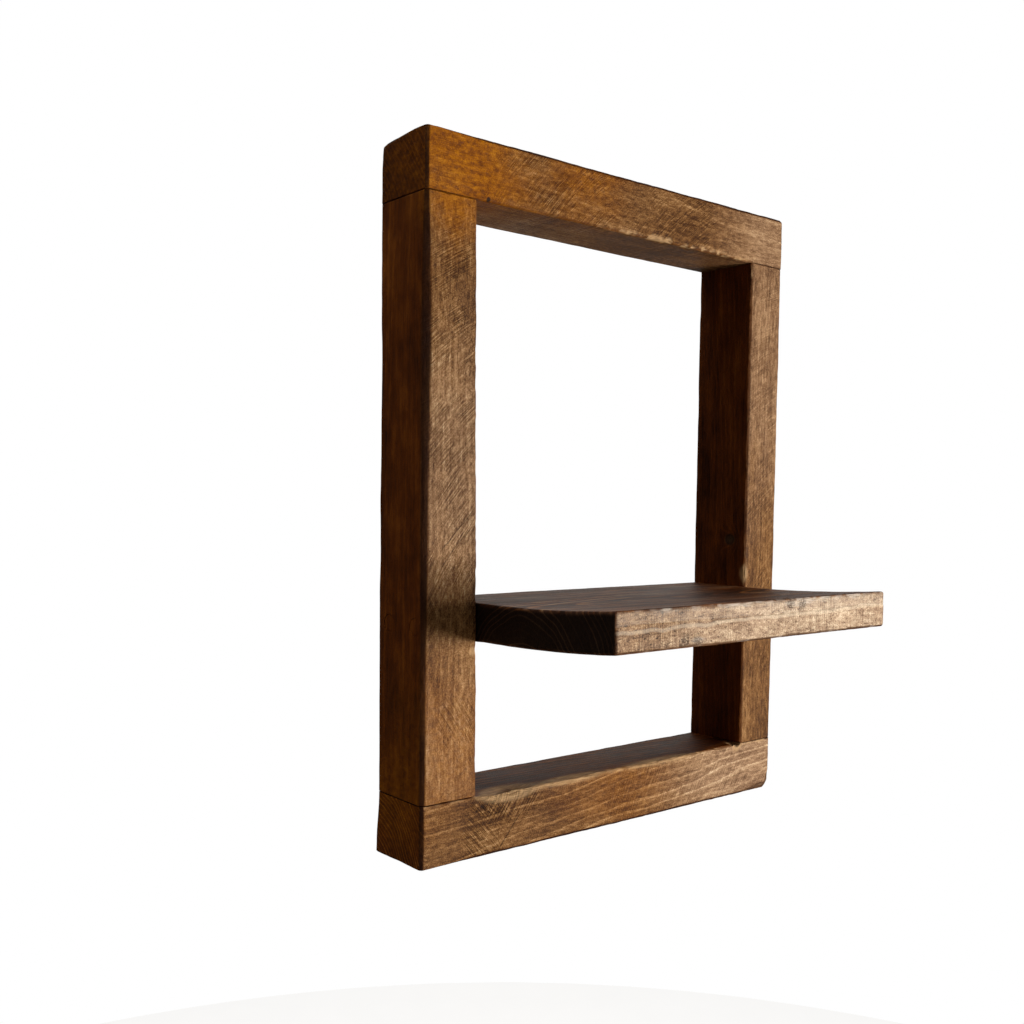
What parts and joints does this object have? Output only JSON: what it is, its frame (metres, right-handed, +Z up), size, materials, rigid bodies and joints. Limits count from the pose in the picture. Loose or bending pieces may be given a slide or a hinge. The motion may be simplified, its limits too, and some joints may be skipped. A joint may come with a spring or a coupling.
{
  "type": "wall frame shelf",
  "caption": "Open rustic timber wall frame, butt-jointed from rough-sawn stock, with a board across it that stands out in front as a shelf; hangs on recessed keyhole plates.",
  "frame": {"origin": "midway between the centres of the two keyhole plates' entry holes, on the wall plane", "axes": "+Y into the wall, +X to the right seen from the room, +Z up"},
  "size_m": [0.302, 0.155, 0.4],
  "materials": {
    "frame_timber": "dark brown stain and wax on rough-sawn softwood",
    "shelf_timber": "dark brown stain and wax, pale where the sawn front edge is worn",
    "wood_plug": "end-grain plugs and filler, stained dark",
    "screw_steel": "plated steel",
    "hanger_steel": "zinc-plated steel"
  },
  "bodies": {
    "root": {"top_rail": "frame_timber", "bottom_rail": "frame_timber", "left_stile": "frame_timber", "right_stile": "frame_timber", "shelf_board": "shelf_timber", "corner_screws_top_left": "screw_steel", "corner_plugs_top_left": "wood_plug", "corner_screws_top_right": "screw_steel", "corner_plugs_top_right": "wood_plug", "corner_screws_bottom_left": "screw_steel", "corner_plugs_bottom_left": "wood_plug", "corner_screws_bottom_right": "screw_steel", "corner_plugs_bottom_right": "wood_plug", "shelf_screws_left": "screw_steel", "shelf_plugs_left": "wood_plug", "hanger_screws_left": "hanger_steel", "hanger_plate_left": "hanger_steel", "shelf_screws_right": "screw_steel", "shelf_plugs_right": "wood_plug", "hanger_screws_right": "hanger_steel", "hanger_plate_right": "hanger_steel"}
  },
  "joints": []
}
